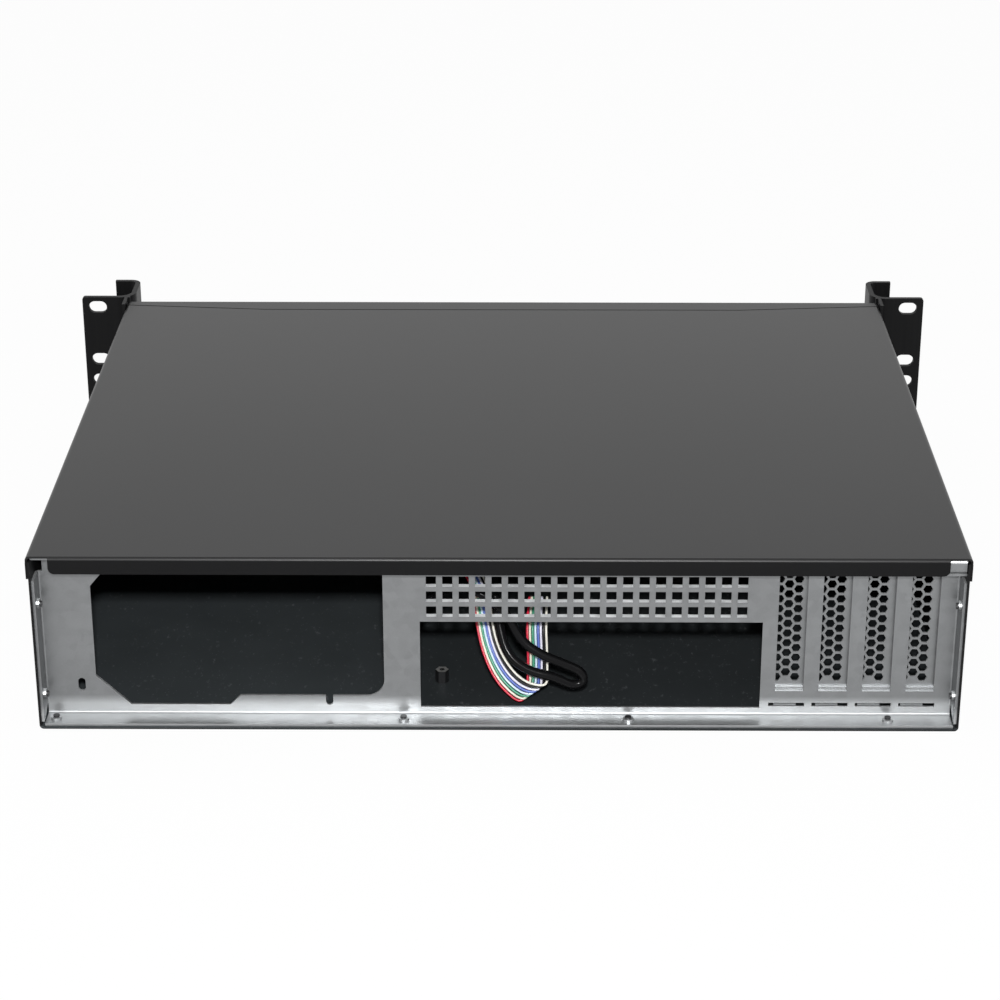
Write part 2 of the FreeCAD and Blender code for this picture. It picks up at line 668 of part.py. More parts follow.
def slot_cover(k):
    """Vented bracket: slanted tongue, joggled plate with a honeycomb of holes, tab on the ledge."""
    half = COVER_STEEL / 2
    tongue = PANEL_IN - FIT - half
    plate = tongue - PLATE_SETBACK
    tab = LEDGE_TOP + half
    shelf = SLOT_BASE + 1.0
    path = [(PANEL_Y - 0.3, TONGUE_Z - TONGUE_SLANT), (tongue, TONGUE_Z + TONGUE_SLANT),
            (tongue, shelf), (plate, shelf),
            (plate, tab), (PANEL_Y + TAB_LENGTH, tab)]
    radii = [0, 0, 0, SMALL_BEND]
    x = SLOT_CENTRES[k]
    strip = folded(path, radii, COVER_STEEL, in_yz(x - PLATE_WIDTH / 2), (PLATE_WIDTH, 0, 0))
    middle = x + TONGUE_SHIFT + COVER_PLAY[k]
    waste = SLOT_BASE - 1.4
    tools = [
        block(x - PLATE_WIDTH, middle - TONGUE_WIDTH / 2, PANEL_IN - 6, PANEL_Y + 6, 0, waste),
        block(middle + TONGUE_WIDTH / 2, x + PLATE_WIDTH, PANEL_IN - 6, PANEL_Y + 6, 0, waste),
    ]
    for column in (-1, 0, 1):
        rows = HOLE_ROWS - 1 if column == 0 else HOLE_ROWS
        start = HOLE_FIRST + (HOLE_ROW / 2 if column == 0 else 0)
        for row in range(rows):
            spot = (middle + column * HOLE_COLUMN, plate - 3, start + row * HOLE_ROW)
            tools.append(peg(spot, (0, 1, 0), HOLE_RADIUS, 6, HOLE_SIDES, 0))
    for side in (-1, 1):
        edge = x + side * TAB_WIDTH / 2
        far = x + side * PLATE_WIDTH
        tools.append(block(min(edge, far), max(edge, far), PANEL_Y + 1.5, PANEL_Y + 12, tab - 2, tab + 2))
    notch = middle - TONGUE_SHIFT
    tools.append(block(notch - 2.2, notch + 2.2, PANEL_Y + 4, PANEL_Y + 12, tab - 2, tab + 2))
    return cut(strip, tools)


def clamp_screw_places():
    """Both screws of the clamp bar, between the tabs."""
    return [SLOT_CENTRES[0] - SLOT_PITCH / 2, SLOT_CENTRES[2] - SLOT_PITCH / 2]


def slot_clamp_bar():
    """Folded bar over the slot covers' tabs, closed by the cover's lip."""
    half = PANEL_STEEL / 2
    base = LEDGE_TOP + COVER_STEEL + half
    rear = LIP_IN - 0.4 - half
    top = NEST_TOP - half
    path = [(PANEL_Y + 1.2, base), (rear, base), (rear, top), (rear - 4.2, top)]
    start = LEDGE_START - 1.5
    end = -WALL_IN + 0.4
    bar = folded(path, [0.9, 1.2], PANEL_STEEL, in_yz(end), (start - end, 0, 0))
    return cut(bar, [peg((x, CLAMP_SCREW_Y, LEDGE_TOP - 2), (0, 0, 1), M3, 8) for x in clamp_screw_places()])


def clamp_screws():
    """Pan-head screws through the clamp bar into the ledge."""
    seat = LEDGE_TOP + COVER_STEEL + PANEL_STEEL
    grip = seat - LEDGE_TOP + PANEL_STEEL + 1
    return [pan_screw((x, CLAMP_SCREW_Y, seat), (0, 0, -1), M3, M3_PAN, 1.9, grip)
            for x in clamp_screw_places()]


# ================================================================ ears
def ear_handle():
    """Extruded ear on the +X side: slotted plate, curled grip and side flange."""
    plate = FRONT_Y - EAR_METAL / 2
    front = FRONT_Y - GRIP_REACH + EAR_METAL / 2
    edge = RACK_WIDTH / 2
    web = edge - GRIP_INSET
    path = [(edge, plate), (web, plate), (web, front), (web - EAR_METAL / 2 + CURL_LENGTH + EAR_METAL, front)]
    strip = folded(path, [GRIP_BEND, CURL_BEND], EAR_METAL, in_xy(EAR_LIFT), (0, 0, EAR_HEIGHT))
    flange = block(WALL_OUT, WALL_OUT + EAR_METAL + 0.2, FRONT_Y - 3.6, FRONT_Y + EAR_FLANGE,
                   EAR_LIFT, EAR_LIFT + EAR_HEIGHT)
    body = fuse([strip, flange])
    corners = []
    for e in body.Edges:
        middle = e.CenterOfMass
        ends = (EAR_LIFT, EAR_LIFT + EAR_HEIGHT)
        at_end = any(abs(middle.z - z) < 0.01 for z in ends)
        if at_end and abs(middle.x - edge) < 0.01 and abs(e.Length - EAR_METAL) < 0.01:
            corners.append(e)
    body = body.makeFillet(EAR_CORNER, corners)
    relief = block(WALL_OUT - 1, BODY_WIDTH / 2 + FIT, FRONT_Y, FRONT_Y + EAR_FLANGE + 1,
                   BODY_HEIGHT - COVER_FLANGE - FIT, BODY_HEIGHT + 10)
    tools = [relief]
    for z in rack_hole_heights():
        tools.append(long_hole((RACK_HOLE_SPAN / 2, plate, z), RACK_SLOT_LENGTH, RACK_SLOT_WIDTH,
                               (1, 0, 0), (0, 1, 0), 10))
    out = WALL_OUT + EAR_METAL + 0.2
    for z in EAR_SCREW_Z:
        tools.append(flat_seat((out, EAR_SCREW_Y, z), (-1, 0, 0), M4, M4_HEAD, 6))
    return cut(body, tools)


def rack_hole_heights():
    """Heights of the rack holes: the panel stands centred in its two rack units."""
    base = EAR_LIFT - (RACK_UNIT - EAR_HEIGHT) / 2
    return [base + z for z in RACK_HOLES]


def ear_screws():
    """Countersunk screws that hold the ears, the walls and the front panel together."""
    out = WALL_OUT + EAR_METAL + 0.2
    screws = []
    for s in (1, -1):
        for z in EAR_SCREW_Z:
            screws.append(flat_screw((s * out, EAR_SCREW_Y, z), (-s, 0, 0), M4, M4_HEAD, 7))
    return screws


def cover_screws():
    """Countersunk screws in the cover's side flanges."""
    screws = []
    for s in (1, -1):
        for y in COVER_SCREW_Y:
            seat = (s * BODY_WIDTH / 2, y, COVER_SCREW_Z)
            screws.append(flat_screw(seat, (-s, 0, 0), M3, M3_SINK, 5))
    return screws


def rear_panel_screws():
    """Countersunk screws from outside into the rear panel's collared flanges."""
    length = BODY_STEEL + PANEL_STEEL + COLLAR + TIP
    screws = []
    for s in (1, -1):
        for z in SIDE_SCREW_Z:
            screws.append(flat_screw((s * WALL_OUT, FLANGE_SCREW_Y, z), (-s, 0, 0), M3, M3_SINK, length))
    for x in FLOOR_SCREW_X:
        screws.append(flat_screw((x, FLANGE_SCREW_Y, 0), (0, 0, 1), M3, M3_SINK, length))
    return screws


# ================================================================ inside
def standoff_spots():
    """Board mounting places: three rows of three, less the shifted corner."""
    rear = PANEL_IN - BOARD_GAP
    spots = []
    for column in BOARD_COLUMNS:
        for row in BOARD_ROWS:
            first = column == BOARD_COLUMNS[0] and row == BOARD_ROWS[0]
            depth = BOARD_CORNER_ROW if first else row
            spots.append((BOARD_EDGE - column, rear - depth))
    return spots


def motherboard_standoffs():
    """Hexagonal standoffs clinched to the floor."""
    circle = STANDOFF_FLATS / math.sqrt(3)
    posts = []
    for x, y in standoff_spots():
        post = peg((x, y, FLOOR), (0, 0, 1), circle, STANDOFF_HEIGHT, 6)
        posts.append(post.cut(rod((x, y, FLOOR + 1.4), (0, 0, 1), STANDOFF_BORE, STANDOFF_HEIGHT)))
    return posts


def drive_screw_spots():
    """Floor screws of the drive bracket."""
    half = DRIVE_WIDTH / 2 - 9
    near = FRONT_Y + DRIVE_START + 10
    far = FRONT_Y + DRIVE_START + DRIVE_LENGTH - 10
    return [(DRIVE_CENTRE + s * half, y) for s in (1, -1) for y in (near, far)]


def drive_bracket():
    """Open channel for one drive, held by its side screws."""
    wall = DRIVE_WIDTH / 2 + DRIVE_PLAY + PANEL_STEEL / 2
    low = FLOOR + PANEL_STEEL / 2
    top = FLOOR + PANEL_STEEL + DRIVE_WALL
    path = [(DRIVE_CENTRE + wall, top), (DRIVE_CENTRE + wall, low),
            (DRIVE_CENTRE - wall, low), (DRIVE_CENTRE - wall, top)]
    start = FRONT_Y + DRIVE_START
    tray = folded(path, BEND, PANEL_STEEL, in_xz(start), (0, DRIVE_LENGTH, 0))
    tools = [block(DRIVE_CENTRE - 30, DRIVE_CENTRE + 30, start + 22, start + DRIVE_LENGTH - 22, 0, 10)]
    for y in DRIVE_HOLES:
        z = FLOOR + PANEL_STEEL + 1.0 + DRIVE_HOLE_Z
        tools.append(rod((DRIVE_CENTRE - 70, start + y, z), (1, 0, 0), DRIVE_HOLE_RADIUS, 140))
    for x, y in drive_screw_spots():
        tools.append(peg((x, y, 0), (0, 0, 1), M3, 6))
    return cut(tray, tools)


def bracket_screws():
    """Flat screws through the floor into the drive bracket."""
    grip = BODY_STEEL + PANEL_STEEL + 1
    return [flat_screw((x, y, 0), (0, 0, 1), M3, M3_SINK, grip) for x, y in drive_screw_spots()]


def fan_height():
    """Height of the fans' axes, midway between floor and cover."""
    return (FLOOR + COVER_IN) / 2


def fan_holes():
    """Screw hole places round a fan's axis."""
    half = FAN_HOLE_PITCH / 2
    return [(a * half, b * half) for a in (1, -1) for b in (1, -1)]


def fan_frame(x):
    """Fan housing: a square block with a round duct, three struts and the bearing tube."""
    z = fan_height()
    half = FAN_SIZE / 2
    front = FACE_IN
    shell = block(x - half, x + half, front, front + FAN_DEPTH, z - half, z + half)
    tools = [rod((x, front - 1, z), (0, 1, 0), FAN_BORE, FAN_DEPTH + 2)]
    for dx, dz in fan_holes():
        tools.append(peg((x + dx, front - 1, z + dz), (0, 1, 0), FAN_HOLE_RADIUS, FAN_DEPTH + 2))
    shell = cut(shell, tools)
    back = front + FAN_DEPTH - 3
    plate = rod((x, back, z), (0, 1, 0), HUB_RADIUS, 3)
    tube = rod((x, back - 14, z), (0, 1, 0), 4.0, 14.5)
    bars = []
    for turn in (30, 150, 270):
        bar = block(HUB_RADIUS - 2, half - 1, back, back + 3, -1.4, 1.4)
        bar.rotate(Vector(0, 0, 0), Vector(0, 1, 0), turn)
        bar.translate(Vector(x, 0, z))
        bars.append(bar)
    bore = rod((x, back - 15, z), (0, 1, 0), SHAFT_RADIUS + SHAFT_PLAY, 16.5)
    return fuse([shell, plate, tube] + bars).cut(bore)


def fan_rotor(x):
    """Hub cup with its shaft and pitched blades."""
    z = fan_height()
    front = FACE_IN + 2.4
    depth = FAN_DEPTH - 6.4
    cup = rod((x, front, z), (0, 1, 0), HUB_RADIUS, depth)
    cup = cup.cut(rod((x, front + 1.6, z), (0, 1, 0), HUB_RADIUS - 1.4, depth))
    shaft = rod((x, front + 1, z), (0, 1, 0), SHAFT_RADIUS, depth)
    blades = []
    for k in range(BLADES):
        blade = block(-BLADE_CHORD / 2, BLADE_CHORD / 2, -BLADE_THICK / 2, BLADE_THICK / 2,
                      HUB_RADIUS - 0.7, BLADE_TIP)
        blade.rotate(Vector(0, 0, 0), Vector(0, 0, 1), BLADE_PITCH)
        blade.rotate(Vector(0, 0, 0), Vector(0, 1, 0), 360.0 * k / BLADES)
        blade.translate(Vector(x, front + depth / 2, z))
        blades.append(blade)
    return fuse([cup, shaft] + blades)


def fan_screws():
    """Self-tapping screws from the front through the panel into the fans' rims."""
    screws = []
    for x in FAN_CENTRES:
        for dx, dz in fan_holes():
            seat = (x + dx, FRONT_Y, fan_height() + dz)
            screws.append(pan_screw(seat, (0, 1, 0), FAN_HOLE_RADIUS, 4.0, 1.8, 9))
    return screws


# ================================================================ front controls
def control_spot(offset):
    """A place on the front, given from the control board's centre."""
    return CONTROL_X + offset[0], CONTROL_Z + offset[1]


def button_places():
    """Both buttons: place and radius."""
    return [(control_spot(POWER_AT), POWER_RADIUS), (control_spot(RESET_AT), RESET_RADIUS)]


def led_places():
    """Both indicator lights."""
    return [control_spot(POWER_LED_AT), control_spot(DRIVE_LED_AT)]


def usb_places():
    """Both connector sockets."""
    return [control_spot(at) for at in USB_AT]


def button(place, radius, stem):
    """Round cap with a retaining rim behind the panel and a stem into its switch."""
    x, z = place
    front = FRONT_Y - BUTTON_PROUD
    cap = rod((x, front, z), (0, 1, 0), radius, BUTTON_PROUD + FRONT_STEEL + 0.4)
    rim = rod((x, FACE_IN + BUTTON_GAP, z), (0, 1, 0), radius + 1.3, 1.2)
    rod_end = BOARD_Y - 4.5 + 0.8
    pin = rod((x, FACE_IN + BUTTON_GAP + 1, z), (0, 1, 0), stem, rod_end - FACE_IN - BUTTON_GAP - 1)
    return fuse([cap, rim, pin])


def switch_body(place, width, stem):
    """Square switch on the control board with a well for the button's stem."""
    x, z = place
    half = width / 2
    body = block(x - half, x + half, BOARD_Y - 4.5, BOARD_Y, z - half, z + half)
    side = stem + BUTTON_GAP
    well = block(x - side, x + side, BOARD_Y - 5, BOARD_Y - 1, z - side, z + side)
    return body.cut(well)


def light_pipe(place):
    """Indicator: clear rod through the panel, standing on the control board."""
    x, z = place
    body = rod((x, FRONT_Y - 0.8, z), (0, 1, 0), LED_RADIUS, BOARD_Y - FRONT_Y + 0.8)
    foot = block(x - 2.5, x + 2.5, BOARD_Y - 3, BOARD_Y, z - 2.5, z + 2.5)
    return fuse([body, foot])


def control_board():
    """Circuit board behind the front panel."""
    half_x = CONTROL_WIDTH / 2
    half_z = CONTROL_HEIGHT / 2
    board = block(CONTROL_X - half_x, CONTROL_X + half_x, BOARD_Y, BOARD_Y + CONTROL_BOARD,
                  CONTROL_Z - half_z, CONTROL_Z + half_z)
    return cut(board, [peg((x, BOARD_Y - 1, z), (0, 1, 0), M3, 4) for x, z in spacer_places()])


def spacer_places():
    """Corners of the control board."""
    half_x = CONTROL_WIDTH / 2 - 4
    half_z = CONTROL_HEIGHT / 2 - 4
    return [(CONTROL_X + a * half_x, CONTROL_Z + b * half_z) for a in (1, -1) for b in (1, -1)]


def board_spacers():
    """Hexagonal posts between the front panel and the control board."""
    posts = []
    for x, z in spacer_places():
        post = peg((x, FACE_IN, z), (0, 1, 0), STANDOFF_FLATS / math.sqrt(3), BOARD_SETBACK, 6)
        posts.append(post.cut(peg((x, BOARD_Y - 5, z), (0, 1, 0), M3, 8)))
    return posts


def board_screws():
    """Pan-head screws that hold the control board on its posts."""
    seat = BOARD_Y + CONTROL_BOARD
    return [pan_screw((x, seat, z), (0, -1, 0), M3, M3_PAN, 1.9, CONTROL_BOARD + 4.5)
            for x, z in spacer_places()]


def usb_shells():
    """Folded metal shells of both sockets."""
    shells = []
    for x, z in usb_places():
        half_x = USB_WIDTH / 2
        half_z = USB_HEIGHT / 2
        end = BOARD_Y
        start = FRONT_Y - 0.4
        body = block(x - half_x, x + half_x, start, end, z - half_z, z + half_z)
        room = block(x - half_x + USB_SHELL, x + half_x - USB_SHELL, start - 1, end - 1,
                     z - half_z + USB_SHELL, z + half_z - USB_SHELL)
        shells.append(body.cut(room))
    return shells


def usb_tongues():
    """Insulated contact tongues inside the sockets."""
    tongues = []
    for x, z in usb_places():
        tongues.append(block(x - 5.6, x + 5.6, FRONT_Y + 0.8, BOARD_Y - 1, z + 0.2, z + 2.0))
    return tongues


# ================================================================ leads
def rounded_path(points):
    """Straight runs joined by tangent arcs, with each arc's radius."""
    spots = [Vector(*p) for p in points]
    edges = []
    radii = []
    start = spots[0]
    for i in range(1, len(spots) - 1):
        back = spots[i] - spots[i - 1]
        ahead = spots[i + 1] - spots[i]
        way = Vector(back).normalize()
        onward = Vector(ahead).normalize()
        turn = way.getAngle(onward)
        reach = ARC_SHARE * min(back.Length, ahead.Length)
        radius = reach / math.tan(turn / 2)
        radii.append(radius)
        enter = spots[i] - way * reach
        leave = spots[i] + onward * reach
        inward = (onward - way).normalize()
        middle = spots[i] + inward * (radius / math.cos(turn / 2) - radius)
        edges.append(Part.LineSegment(start, enter).toShape())
        edges.append(Part.Arc(enter, middle, leave).toShape())
        start = leave
    edges.append(Part.LineSegment(start, spots[-1]).toShape())
    return Part.Wire(edges), radii


def round_lead(points, diameter, name):
    """A round cable along its route."""
    path, radii = rounded_path(points)
    first = Vector(*points[0])
    way = Vector(*points[1]) - first
    outline = ring(first, way, diameter / 2, LEAD_SIDES)
    tube = Part.Solid(path.makePipeShell([outline], True, False).Shells[0])
    section = Part.Face(outline).Area
    print(name, "radii", [round(r, 1) for r in radii], "volume share",
          round(tube.Volume / (section * path.Length), 4))
    return tube


def flat_lead(points, width, height, name):
    """A flat cable whose width stays level across X, as a chain of straight-sided links."""
    path, radii = rounded_path(points)
    count = 4
    stations = []
    for edge in path.Edges:
        steps = count if edge.Curve.TypeId == "Part::GeomCircle" else 1
        first, last = edge.ParameterRange
        for i in range(steps):
            at = first + (last - first) * i / steps
            stations.append((edge.valueAt(at), edge.tangentAt(at)))
    end = path.Edges[-1]
    stations.append((end.valueAt(end.LastParameter), end.tangentAt(end.LastParameter)))
    wires = []
    for spot, way in stations:
        across = Vector(1, 0, 0) * (width / 2)
        up = Vector(1, 0, 0).cross(Vector(0, way.y, way.z)).normalize() * (height / 2)
        ring = [spot + across + up, spot - across + up, spot - across - up, spot + across - up]
        wires.append(Part.makePolygon(ring + ring[:1]))
    strip = Part.makeLoft(wires, True, True)
    print(name, "radii", [round(r, 1) for r in radii], "volume share",
          round(strip.Volume / (width * height * path.Length), 4))
    return strip


def ribbon_route():
    """Centre line of the flat ribbon, from the control board to its loop at the rear."""
    start = BOARD_Y + CONTROL_BOARD + PLUG_DEPTH
    return [
        (124.0, start, 50.0),
        (124.0, -118.0, 50.0),
        (112.0, -85.0, 40.0),
        (91.0, -45.0, 36.5),
        (67.0, -8.0, 34.0),
        (46.5, 34.0, 30.0),
        (45.0, 76.0, 34.0),
        (41.0, 108.0, 48.0),
        (22.0, 126.0, 63.0),
        (8.0, 144.0, 55.0),
        (4.0, 150.0, 30.0),
        (-2.0, 156.0, 4.8),
        (-12.0, 165.0, 4.0),
        (-16.5, 166.0, 26.0),
        (-18.0, 160.0, 52.0),
        (-18.5, 146.0, 66.0),
    ]


def lead_route():
    """Centre line of the round lead of the front sockets."""
    start = BOARD_Y + CONTROL_BOARD + PLUG_DEPTH
    return [
        (110.0, start, 38.0),
        (110.0, -118.0, 38.0),
        (84.0, -95.0, 38.5),
        (59.0, -78.0, 24.0),
        (46.0, -44.0, 5.0),
        (45.0, 2.0, 3.6),
        (46.0, 50.0, 3.7),
        (44.5, 92.0, 4.5),
        (44.0, 126.0, 16.0),
        (38.0, 144.0, 44.0),
        (18.0, 160.0, 62.0),
        (-6.0, 169.0, 46.0),
        (-28.0, 170.5, 21.0),
        (-41.5, 169.0, 15.5),
        (-42.0, 167.0, 8.5),
        (-36.5, 166.5, 4.0),
        (-23.0, 169.5, 7.0),
        (-6.0, 170.5, 16.0),
        (-2.0, 162.0, 40.0),
        (4.0, 152.0, 64.0),
    ]


def plug(spot, size):
    """A plain connector housing on the control board, in front of a lead's first point."""
    width, height = size
    x, y, z = spot
    return block(x - width / 2, x + width / 2, y - PLUG_DEPTH, y, z - height / 2, z + height / 2)


def main():
    """Builds every sub-part and writes its file."""
    os.makedirs("parts", exist_ok=True)
    right = ear_handle()
    nodes = {
        "chassis_base": chassis_base(),
        "top_cover": top_cover(),
        "front_panel": front_panel(),
        "rear_panel": rear_panel(),
        "right_ear_handle": right,
        "left_ear_handle": mirrored(right),
        "ear_screws": ear_screws(),
        "cover_screws": cover_screws(),
        "rear_panel_screws": rear_panel_screws(),
        "slot_clamp_bar": slot_clamp_bar(),
        "clamp_screws": clamp_screws(),
        "motherboard_standoffs": motherboard_standoffs(),
        "drive_bracket": drive_bracket(),
        "bracket_screws": bracket_screws(),
        "fan_screws": fan_screws(),
        "power_button": button(control_spot(POWER_AT), POWER_RADIUS, 1.6),
        "reset_button": button(control_spot(RESET_AT), RESET_RADIUS, 1.1),
        "power_switch": switch_body(control_spot(POWER_AT), 12.0, 1.6),
        "reset_switch": switch_body(control_spot(RESET_AT), 6.0, 1.1),
        "power_light": light_pipe(control_spot(POWER_LED_AT)),
        "drive_light": light_pipe(control_spot(DRIVE_LED_AT)),
        "control_board": control_board(),
        "board_spacers": board_spacers(),
        "board_screws": board_screws(),
        "usb_shells": usb_shells(),
        "usb_tongues": usb_tongues(),
        "ribbon_cable": flat_lead(ribbon_route(), WIRES * WIRE_PITCH, RIBBON_HEIGHT, "ribbon"),
        "ribbon_plug": plug(ribbon_route()[0], RIBBON_PLUG),
        "usb_lead": round_lead(lead_route(), LEAD, "lead"),
        "usb_lead_plug": plug(lead_route()[0], LEAD_PLUG),
    }
    for k in range(SLOT_COUNT):
        nodes["slot_cover_%d" % (k + 1)] = slot_cover(k)
    for k, x in enumerate(FAN_CENTRES):
        nodes["fan_frame_%d" % (k + 1)] = fan_frame(x)
        nodes["fan_rotor_%d" % (k + 1)] = fan_rotor(x)
    total = 0
    for name, shape in nodes.items():
        if isinstance(shape, list):
            shape = Part.makeCompound(shape)
        facets = len(shape.tessellate(0.1)[1])
        total += facets
        print(name, "solids", len(shape.Solids), "valid", shape.isValid(),
              "volume", round(shape.Volume, 1), "facets", facets)
        shape.exportStep("parts/%s.step" % name)
    print("facets in all", total)


main()
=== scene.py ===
"""Looks of the empty rackmount server case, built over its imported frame."""

import logging
import math
from dataclasses import dataclass
from enum import Enum
from typing import Optional, Sequence, Union

import bpy
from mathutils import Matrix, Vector


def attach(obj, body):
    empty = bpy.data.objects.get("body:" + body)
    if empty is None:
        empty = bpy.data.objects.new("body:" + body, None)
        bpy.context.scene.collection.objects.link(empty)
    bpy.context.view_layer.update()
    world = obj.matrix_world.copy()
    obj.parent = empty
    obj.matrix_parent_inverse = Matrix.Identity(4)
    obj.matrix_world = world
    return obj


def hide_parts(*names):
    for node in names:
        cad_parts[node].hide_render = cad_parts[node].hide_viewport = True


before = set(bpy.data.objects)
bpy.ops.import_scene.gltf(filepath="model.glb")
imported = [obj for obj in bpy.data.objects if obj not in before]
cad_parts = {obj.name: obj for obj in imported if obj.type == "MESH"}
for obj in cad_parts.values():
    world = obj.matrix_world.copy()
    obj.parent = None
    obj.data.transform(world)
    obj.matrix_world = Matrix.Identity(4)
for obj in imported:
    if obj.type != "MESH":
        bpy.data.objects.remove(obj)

LOG = logging.getLogger("server_case")
Point = tuple[float, float, float]
Colour = tuple[float, float, float]


# ---------------------------------------------------------------- shader maths
class Wire:
    """A node's output socket that builds Math nodes from Python operators."""

    def __init__(self, shader: "Shader", socket: bpy.types.NodeSocket) -> None:
        """Wraps one output socket of a shader."""
        self.shader = shader
        self.socket = socket

    def _math(self, operation: str, *values: Union["Wire", float], clamp: bool = False) -> "Wire":
        """Adds a Math node.

        Args:
            operation: The node's operation.
            values: Its inputs, in order.
            clamp: Whether the result is held between 0 and 1.

        Returns:
            The node's result.
        """
        settings = {"operation": operation, "use_clamp": clamp}
        return self.shader.node("ShaderNodeMath", settings, dict(enumerate(values)))

    def __add__(self, other: Union["Wire", float]) -> "Wire":
        """Sum."""
        return self._math("ADD", self, other)

    __radd__ = __add__

    def __sub__(self, other: Union["Wire", float]) -> "Wire":
        """Difference."""
        return self._math("SUBTRACT", self, other)

    def __rsub__(self, other: Union["Wire", float]) -> "Wire":
        """Reflected difference."""
        return self._math("SUBTRACT", other, self)

    def __mul__(self, other: Union["Wire", float]) -> "Wire":
        """Product."""
        return self._math("MULTIPLY", self, other)

    __rmul__ = __mul__

    def __gt__(self, other: Union["Wire", float]) -> "Wire":
        """1 where this is greater than the other, else 0."""
        return self._math("GREATER_THAN", self, other)

    def __lt__(self, other: Union["Wire", float]) -> "Wire":
        """1 where this is less than the other, else 0."""
        return self._math("LESS_THAN", self, other)

    def clamped(self) -> "Wire":
        """The value held between 0 and 1."""
        return self._math("ADD", self, 0.0, clamp=True)


Value = Union[Wire, float, Sequence[float]]


class Shader:
    """The nodes of one material, or of the world."""

    def __init__(self, owner: Union[bpy.types.Material, bpy.types.World]) -> None:
        """Clears the nodes of a material or world, to build them anew."""
        self.owner = owner
        owner.use_nodes = True
        self.tree = owner.node_tree
        self.tree.nodes.clear()

    @classmethod
    def named(cls, name: str) -> "Shader":
        """Starts an empty material of the given name."""
        return cls(bpy.data.materials.new(name))

    def node(self, kind: str, settings: Optional[dict] = None, values: Optional[dict] = None,
             output: Union[int, str] = 0) -> Wire:
        """Adds a node, sets it up and links it.

        Args:
            kind: The node's type.
            settings: Its own settings, made before its sockets are filled.
            values: Values or links by the socket's name or number.
            output: The output that is wanted, by name or number.

        Returns:
            That output.
        """
        made = self.tree.nodes.new(kind)
        for key, value in (settings or {}).items():
            setattr(made, key, value)
        for key, value in (values or {}).items():
            self.feed(made, key, value)
        return Wire(self, made.outputs[output])

    def feed(self, made: bpy.types.Node, key: Union[int, str], value: Value) -> None:
        """Links a wire to a node's socket, or sets the socket's own value."""
        target = made.inputs[key]
        if isinstance(value, Wire):
            self.tree.links.new(value.socket, target)
        elif isinstance(value, (tuple, list)) and target.type == "RGBA" and len(value) == 3:
            target.default_value = (*value, 1.0)
        else:
            target.default_value = value

    def place(self) -> Wire:
        """The object's own coordinates, in metres."""
        return self.node("ShaderNodeTexCoord", output="Object")

    def axis(self, name: str) -> Wire:
        """One of the object's coordinates: X, Y or Z."""
        return self.node("ShaderNodeSeparateXYZ", None, {0: self.place()}, name)

    def facing(self, name: str) -> Wire:
        """One component of the surface's own direction: X, Y or Z."""
        normal = self.node("ShaderNodeNewGeometry", output="Normal")
        return self.node("ShaderNodeSeparateXYZ", None, {0: normal}, name)

    def noise(self, scale: float, detail: float = 2.0, rough: float = 0.5,
              stretch: Point = (1.0, 1.0, 1.0)) -> Wire:
        """Noise of a scale per metre, stretched along the axes."""
        mapped = self.node("ShaderNodeMapping", None, {"Vector": self.place(), "Scale": stretch})
        values = {"Vector": mapped, "Scale": scale, "Detail": detail, "Roughness": rough}
        return self.node("ShaderNodeTexNoise", None, values, "Fac")

    def cells(self, scale: float, output: str = "Distance") -> Wire:
        """Voronoi cells of a scale per metre."""
        values = {"Vector": self.place(), "Scale": scale}
        return self.node("ShaderNodeTexVoronoi", None, values, output)

    def mix(self, factor: Value, a: Value, b: Value) -> Wire:
        """A mix of two colours, through the Mix node's factor and colour sockets."""
        return self.node("ShaderNodeMix", {"data_type": "RGBA"}, {0: factor, 6: a, 7: b}, 2)

    def bump(self, height: Wire, distance: float, strength: float) -> Wire:
        """A bump of a height field."""
        values = {"Height": height, "Distance": distance, "Strength": strength}
        return self.node("ShaderNodeBump", None, values, "Normal")

    def surface(self, **sockets: Value) -> bpy.types.Material:
        """Ends the material in a Principled shader.

        Args:
            sockets: Values or links, with _ for a space in the socket's name.

        Returns:
            The finished material.
        """
        values = {key.replace("_", " "): value for key, value in sockets.items()}
        self.end(self.node("ShaderNodeBsdfPrincipled", None, values))
        return self.owner

    def end(self, shader: Wire) -> None:
        """Links a shader to the output of the material or world."""
        kind = "World" if isinstance(self.owner, bpy.types.World) else "Material"
        out = self.tree.nodes.new(f"ShaderNodeOutput{kind}")
        self.tree.links.new(shader.socket, out.inputs["Surface"])


# ---------------------------------------------------------------- finishes
# noise scales per metre: the larger, the finer
PAINT_GRAIN = 1400.0
PLATING_GRAIN = 2400.0
PLASTIC_GRAIN = 3200.0


def tone(colour: Colour, level: float) -> Colour:
    """A colour made darker or lighter."""
    red, green, blue = colour
    return (level * red, level * green, level * blue)


class Finish:
    """A surface finish; each kind makes its material once."""

    def material(self) -> bpy.types.Material:
        """The finish's material, made at its first use."""
        key = repr(self)
        if key not in FINISHED:
            FINISHED[key] = self.build()
        return FINISHED[key]

    def build(self) -> bpy.types.Material:
        """Builds the material."""
        raise NotImplementedError


FINISHED: dict[str, bpy.types.Material] = {}


